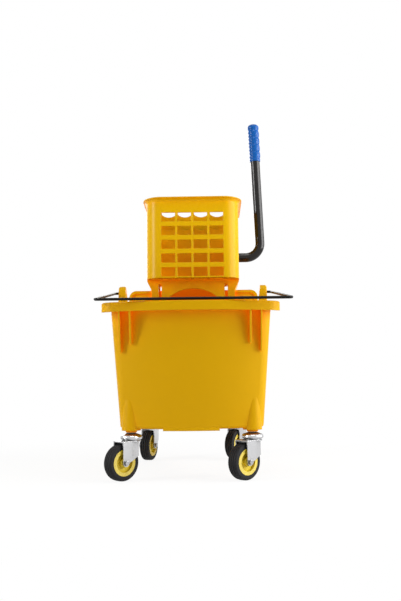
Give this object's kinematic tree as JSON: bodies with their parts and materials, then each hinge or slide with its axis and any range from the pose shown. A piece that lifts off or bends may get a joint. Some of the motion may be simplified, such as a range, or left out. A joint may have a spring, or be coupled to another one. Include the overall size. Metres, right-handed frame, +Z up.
{
  "type": "mop bucket with wringer",
  "caption": "Rectangular mop bucket on swivel casters, with a wire bail and a lift-off side-press wringer whose upright lever drives a press plate through cams.",
  "frame": {"origin": "on the floor, in the middle plane of the tub, midway between the front of the rim and the back of the wringer's hook", "axes": "+Z up, -Y towards the front where the bail rests, +X towards the lever"},
  "size_m": [0.4146, 0.5077, 0.8695],
  "materials": {
    "yellow_tub": "moulded polyethylene, satin",
    "bail_wire": "black coated steel wire",
    "yellow_wringer": "moulded polypropylene, semi-gloss",
    "zinc_fasteners": "zinc plated",
    "lever_black": "black powder coat",
    "grip_blue": "moulded, semi-gloss",
    "bush_white": "nylon",
    "cap_black": "moulded",
    "cam_grey": "glass-filled nylon",
    "spring_steel": "drawn wire",
    "caster_zinc": "bright zinc plate",
    "caster_steel": "zinc plated",
    "hub_yellow": "moulded",
    "tyre_grey": "matt, fine ribs"
  },
  "bodies": {
    "tub": {"tub": "yellow_tub", "caster_front_left_king_pin": "caster_steel", "caster_front_left_cup": "caster_zinc", "caster_front_right_king_pin": "caster_steel", "caster_front_right_cup": "caster_zinc", "caster_rear_left_king_pin": "caster_steel", "caster_rear_left_cup": "caster_zinc", "caster_rear_right_king_pin": "caster_steel", "caster_rear_right_cup": "caster_zinc"},
    "bail": {"bail": "bail_wire"},
    "wringer": {"wringer_base": "yellow_wringer", "wringer_basket": "yellow_wringer", "basket_screws": "zinc_fasteners", "shaft_bush_left": "bush_white", "shaft_bush_right": "bush_white", "basket_spring_pins": "zinc_fasteners", "return_spring_left": "spring_steel", "return_spring_right": "spring_steel"},
    "press_plate": {"press_plate": "yellow_wringer", "plate_spring_pins": "zinc_fasteners"},
    "lever": {"lever_tube": "lever_black", "lever_grip": "grip_blue", "shaft_end_cap": "cap_black", "cam_left": "cam_grey", "cam_right": "cam_grey", "cam_bolts": "zinc_fasteners", "cam_nuts": "zinc_fasteners"},
    "swivel_front_left": {"caster_front_left_fork": "caster_zinc", "caster_front_left_balls": "caster_steel", "caster_front_left_axle_bolt": "caster_steel", "caster_front_left_axle_nut": "caster_steel", "caster_front_left_sleeve": "caster_steel"},
    "wheel_front_left": {"caster_front_left_hub": "hub_yellow", "caster_front_left_tyre": "tyre_grey"},
    "swivel_front_right": {"caster_front_right_fork": "caster_zinc", "caster_front_right_balls": "caster_steel", "caster_front_right_axle_bolt": "caster_steel", "caster_front_right_axle_nut": "caster_steel", "caster_front_right_sleeve": "caster_steel"},
    "wheel_front_right": {"caster_front_right_hub": "hub_yellow", "caster_front_right_tyre": "tyre_grey"},
    "swivel_rear_left": {"caster_rear_left_fork": "caster_zinc", "caster_rear_left_balls": "caster_steel", "caster_rear_left_axle_bolt": "caster_steel", "caster_rear_left_axle_nut": "caster_steel", "caster_rear_left_sleeve": "caster_steel"},
    "wheel_rear_left": {"caster_rear_left_hub": "hub_yellow", "caster_rear_left_tyre": "tyre_grey"},
    "swivel_rear_right": {"caster_rear_right_fork": "caster_zinc", "caster_rear_right_balls": "caster_steel", "caster_rear_right_axle_bolt": "caster_steel", "caster_rear_right_axle_nut": "caster_steel", "caster_rear_right_sleeve": "caster_steel"},
    "wheel_rear_right": {"caster_rear_right_hub": "hub_yellow", "caster_rear_right_tyre": "tyre_grey"}
  },
  "joints": [
    {"name": "bail_swing", "type": "hinge", "parent": "tub", "child": "bail", "pos_m": [0, -0.01, 0.4134], "axis": [-1, 0, 0], "range_deg": [0, 90]},
    {"name": "wringer_lift", "type": "slide", "parent": "tub", "child": "wringer", "axis": [0, 0, 1], "range_m": [0, 0.25]},
    {"name": "lever_turn", "type": "hinge", "parent": "wringer", "child": "lever", "pos_m": [0, 0.115, 0.5165], "axis": [-1, 0, 0], "range_deg": [0, 80]},
    {"name": "plate_press", "type": "slide", "parent": "wringer", "child": "press_plate", "axis": [0, -1, 0], "range_m": [0, 0.0559], "stiffness_N_per_m": 600, "springref_m": -0.015, "deforming": ["return_spring_left", "return_spring_right"]},
    {"name": "swivel_front_left", "type": "hinge", "parent": "tub", "child": "swivel_front_left", "pos_m": [-0.1283, -0.18, 0.09], "axis": [0, 0, 1], "continuous": true},
    {"name": "spin_front_left", "type": "hinge", "parent": "swivel_front_left", "child": "wheel_front_left", "pos_m": [-0.14732, -0.19773, 0.0381], "axis": [-0.682, 0.7314, 0], "continuous": true},
    {"name": "swivel_front_right", "type": "hinge", "parent": "tub", "child": "swivel_front_right", "pos_m": [0.1283, -0.18, 0.09], "axis": [0, 0, 1], "continuous": true},
    {"name": "spin_front_right", "type": "hinge", "parent": "swivel_front_right", "child": "wheel_front_right", "pos_m": [0.10913, -0.19756, 0.0381], "axis": [-0.6756, 0.7373, 0], "continuous": true},
    {"name": "swivel_rear_left", "type": "hinge", "parent": "tub", "child": "swivel_rear_left", "pos_m": [-0.114, 0.18, 0.09], "axis": [0, 0, 1], "continuous": true},
    {"name": "spin_rear_left", "type": "hinge", "parent": "swivel_rear_left", "child": "wheel_rear_left", "pos_m": [-0.12117, 0.15501, 0.0381], "axis": [-0.9613, 0.2756, 0], "continuous": true},
    {"name": "swivel_rear_right", "type": "hinge", "parent": "tub", "child": "swivel_rear_right", "pos_m": [0.114, 0.18, 0.09], "axis": [0, 0, 1], "continuous": true},
    {"name": "spin_rear_right", "type": "hinge", "parent": "swivel_rear_right", "child": "wheel_rear_right", "pos_m": [0.101, 0.15748, 0.0381], "axis": [-0.866, 0.5, 0], "continuous": true}
  ],
  "couplings": [
    {"joint": "plate_press", "follows": "lever_turn", "m_per_rad": 0.04}
  ]
}
